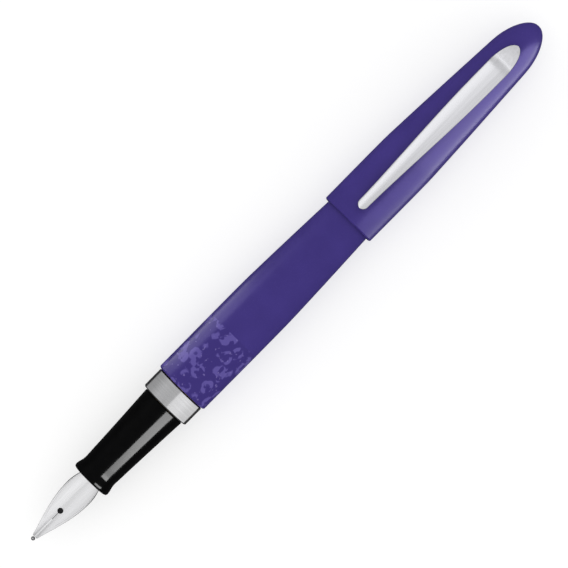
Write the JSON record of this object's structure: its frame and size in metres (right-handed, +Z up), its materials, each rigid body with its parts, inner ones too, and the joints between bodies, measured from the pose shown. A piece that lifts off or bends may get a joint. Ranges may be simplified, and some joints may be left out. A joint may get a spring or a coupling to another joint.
{
  "type": "fountain pen",
  "caption": "Lacquered metal fountain pen with a steel nib, black grip, polished trim ring, piston converter and a push-on cap with a flat pocket clip, posted on the tail.",
  "frame": {"origin": "under the middle of the pen, on the surface that the pen lies on", "axes": "+X along the pen from the nib's point to the cap's crown, +Z up through the flat outer face of the pocket clip"},
  "size_m": [0.1536, 0.0132, 0.0157],
  "materials": {
    "violet_lacquer": "violet lacquer over brass, satin gloss, with a mottled band at the barrel's front",
    "polished_steel": "polished plated steel",
    "nib_steel": "polished stainless steel sheet with fine lengthwise brushing",
    "tipping_alloy": "ground and polished hard alloy",
    "black_gloss_plastic": "glossy black moulded plastic",
    "black_matte_plastic": "matte black moulded plastic",
    "brass": "turned brass",
    "clear_plastic": "clear moulded plastic",
    "grey_plastic": "grey moulded plastic",
    "white_plastic": "soft white seal plastic"
  },
  "bodies": {
    "barrel": {"barrel_shell": "violet_lacquer", "barrel_bush": "brass"},
    "cap": {"cap_shell": "violet_lacquer", "cap_liner": "black_matte_plastic", "clip_anchor": "grey_plastic"},
    "clip_spring": {"clip": "polished_steel"},
    "ring": {"section_ring": "polished_steel"},
    "section": {"grip_section": "black_gloss_plastic", "section_sleeve": "brass", "nib_housing": "black_matte_plastic", "capillary_rod": "white_plastic", "nib": "nib_steel", "nib_tipping": "tipping_alloy", "feed": "black_matte_plastic"},
    "converter": {"converter_mouth": "grey_plastic", "converter_tube": "clear_plastic", "converter_collar": "polished_steel", "rod_guide": "grey_plastic"},
    "knob": {"converter_knob": "black_gloss_plastic"},
    "piston": {"piston_head": "white_plastic", "piston_rod": "grey_plastic"}
  },
  "joints": [
    {"name": "cap_pull", "type": "slide", "parent": "barrel", "child": "cap", "axis": [1, 0, 0], "range_m": [0, 0.033]},
    {"name": "clip_flex", "type": "hinge", "parent": "cap", "child": "clip_spring", "pos_m": [0.06825, 0, 0.01157], "axis": [0, 1, 0], "range_deg": [0, 4], "stiffness_Nm_per_rad": 1.2},
    {"name": "section_travel", "type": "slide", "parent": "barrel", "child": "ring", "axis": [-1, 0, 0], "range_m": [0, 0.0075]},
    {"name": "section_turn", "type": "hinge", "parent": "ring", "child": "section", "pos_m": [-0.03675, 0, 0.00657], "axis": [-1, 0, 0], "range_deg": [0, 2160.1]},
    {"name": "converter_pull", "type": "slide", "parent": "section", "child": "converter", "axis": [1, 0, 0], "range_m": [0, 0.007]},
    {"name": "knob_turn", "type": "hinge", "parent": "converter", "child": "knob", "pos_m": [0.01305, 0, 0.00657], "axis": [-1, 0, 0], "range_deg": [0, 1200.1]},
    {"name": "piston_travel", "type": "slide", "parent": "converter", "child": "piston", "axis": [1, 0, 0], "range_m": [0, 0.02]}
  ],
  "couplings": [
    {"joint": "section_turn", "follows": "section_travel", "rad_per_m": 5026.5},
    {"joint": "knob_turn", "follows": "piston_travel", "rad_per_m": 1047.2}
  ]
}
